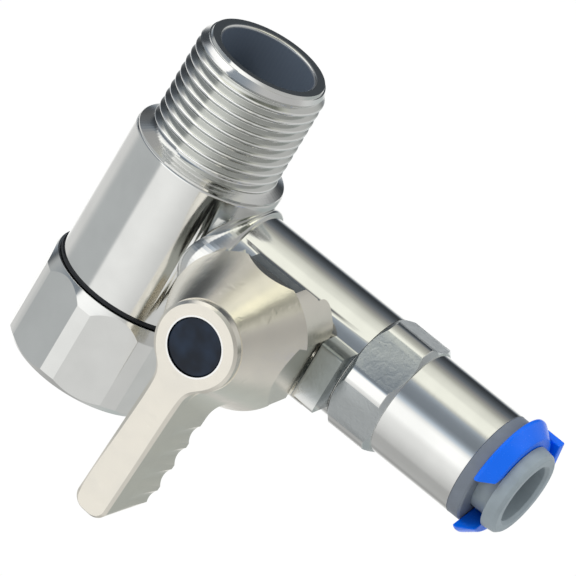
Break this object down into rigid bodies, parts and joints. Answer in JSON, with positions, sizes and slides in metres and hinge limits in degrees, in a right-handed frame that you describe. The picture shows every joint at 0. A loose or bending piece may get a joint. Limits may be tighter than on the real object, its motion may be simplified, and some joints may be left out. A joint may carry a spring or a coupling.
{
  "type": "tee stop valve",
  "caption": "Tee stop valve: straight run with a male thread above and a swivel nut below, and a lever-operated ball valve branch ending in a push-fit tube socket.",
  "frame": {"origin": "centre of the inlet face, the lower end of the swivel nut", "axes": "+Z along the run to the outlet thread, +X along the branch to the tube socket, -Y from the branch to the handle"},
  "size_m": [0.0819, 0.0439, 0.0614],
  "materials": {
    "plated_brass": "polished nickel or chrome plate on brass",
    "satin_plate": "satin nickel plate on a zinc casting",
    "bare_brass": "machined",
    "steel": "plain stainless",
    "black_rubber": "matte",
    "black_plastic": "satin",
    "white_plastic": "matte",
    "dark_grey_plastic": "satin",
    "grey_plastic": "satin",
    "blue_plastic": "gloss",
    "navy_plastic": "satin gloss"
  },
  "bodies": {
    "valve": {"valve_body": "plated_brass", "slip_washer": "black_plastic", "snap_ring": "steel", "inlet_washer": "black_rubber", "inner_seat": "white_plastic", "outer_seat": "white_plastic", "outlet_body": "plated_brass", "nose_seal": "black_rubber", "tube_seal": "black_rubber", "spacer_ring": "white_plastic", "grab_ring": "steel", "cartridge_cap": "dark_grey_plastic", "collet": "grey_plastic", "lock_clip": "blue_plastic"},
    "lever": {"handle": "satin_plate", "handle_screw": "steel", "screw_washer": "steel", "handle_cap": "navy_plastic", "stem": "bare_brass", "thrust_washer": "white_plastic", "stem_o_ring_lower": "black_rubber", "stem_o_ring_upper": "black_rubber", "ball": "plated_brass"},
    "nut": {"swivel_nut": "plated_brass"}
  },
  "joints": [
    {"name": "handle_turn", "type": "hinge", "parent": "valve", "child": "lever", "pos_m": [0.0231, 0, 0.0285], "axis": [0, -1, 0], "range_deg": [0, 90]},
    {"name": "nut_swivel", "type": "hinge", "parent": "valve", "child": "nut", "pos_m": [0, 0, 0.0077], "axis": [0, 0, 1], "continuous": true}
  ]
}
